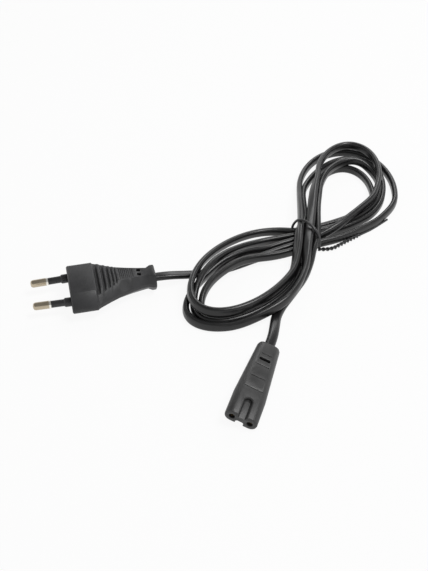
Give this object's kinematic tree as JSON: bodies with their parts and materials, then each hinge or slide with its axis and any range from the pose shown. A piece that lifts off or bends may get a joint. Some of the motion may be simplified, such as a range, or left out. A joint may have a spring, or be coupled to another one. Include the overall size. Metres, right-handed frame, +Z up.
{
  "type": "figure eight power connector",
  "caption": "Moulded figure-eight mains connector on a flat cord tied up as a figure-eight hank, with a flat moulded plug at the other end; feeds a small appliance.",
  "frame": {"origin": "floor point under the middle of the connector's moulding, which lies on the floor", "axes": "+Y along the connector from its sockets to its cord, +Z up, +X across it"},
  "size_m": [0.1671, 0.2346, 0.0165],
  "materials": {
    "connector_pvc": "satin",
    "cord_pvc": "satin",
    "tie_pvc": "gloss",
    "plug_pvc": "satin",
    "sleeve_nylon": "satin",
    "pin_nickel": "polished",
    "insert_nylon": "satin",
    "socket_brass": "polished",
    "strand_copper": "bare",
    "core_brown": "satin",
    "core_blue": "satin"
  },
  "bodies": {
    "root": {"connector_body": "connector_pvc", "contact_carrier": "insert_nylon", "contact_socket_left": "socket_brass", "contact_socket_right": "socket_brass", "connector_core_brown": "core_brown", "connector_core_blue": "core_blue", "connector_strands_brown": "strand_copper", "connector_strands_blue": "strand_copper", "cord_connector_tail": "cord_pvc", "cord_hank": "cord_pvc", "cord_plug_tail": "cord_pvc", "twist_tie": "tie_pvc", "plug_body": "plug_pvc", "pin_bridge": "insert_nylon", "plug_pin_near": "pin_nickel", "plug_pin_far": "pin_nickel", "pin_sleeve_near": "sleeve_nylon", "pin_sleeve_far": "sleeve_nylon", "plug_core_brown": "core_brown", "plug_core_blue": "core_blue", "plug_strands_brown": "strand_copper", "plug_strands_blue": "strand_copper"}
  },
  "joints": []
}
